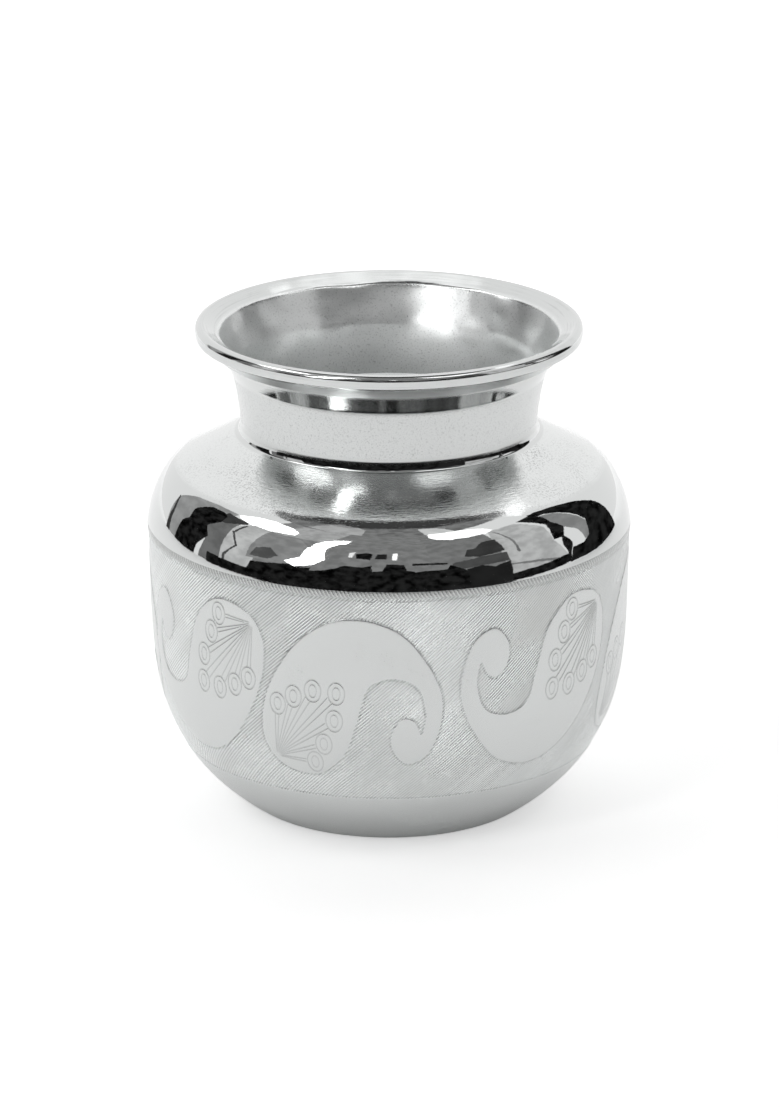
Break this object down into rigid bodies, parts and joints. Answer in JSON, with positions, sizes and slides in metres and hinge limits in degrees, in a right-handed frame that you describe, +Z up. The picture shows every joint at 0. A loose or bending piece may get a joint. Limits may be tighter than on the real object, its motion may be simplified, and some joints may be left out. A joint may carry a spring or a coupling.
{
  "type": "kalash pot",
  "caption": "Round-bellied kalash water pot with a waisted neck, a flared rolled lip and an engraved paisley belt, in stainless steel sheet.",
  "frame": {"origin": "centre of the resting ring, on the surface that the pot stands on", "axes": "+Z up along the pot's axis; the pot is turned about +Z; -Y is the side the picture shows"},
  "size_m": [0.1096, 0.1096, 0.1124],
  "materials": {
    "satin_steel": "satin stainless steel with an engraved, hatched belt of smooth paisleys",
    "polished_steel": "mirror-polished stainless steel with fine turning lines, satin inside",
    "weld_steel": "stainless weld, ground flush and polished outside"
  },
  "bodies": {
    "root": {"bowl": "satin_steel", "belly_weld": "weld_steel", "shoulder": "polished_steel", "neck_weld": "weld_steel", "neck_collar": "polished_steel"}
  },
  "joints": []
}
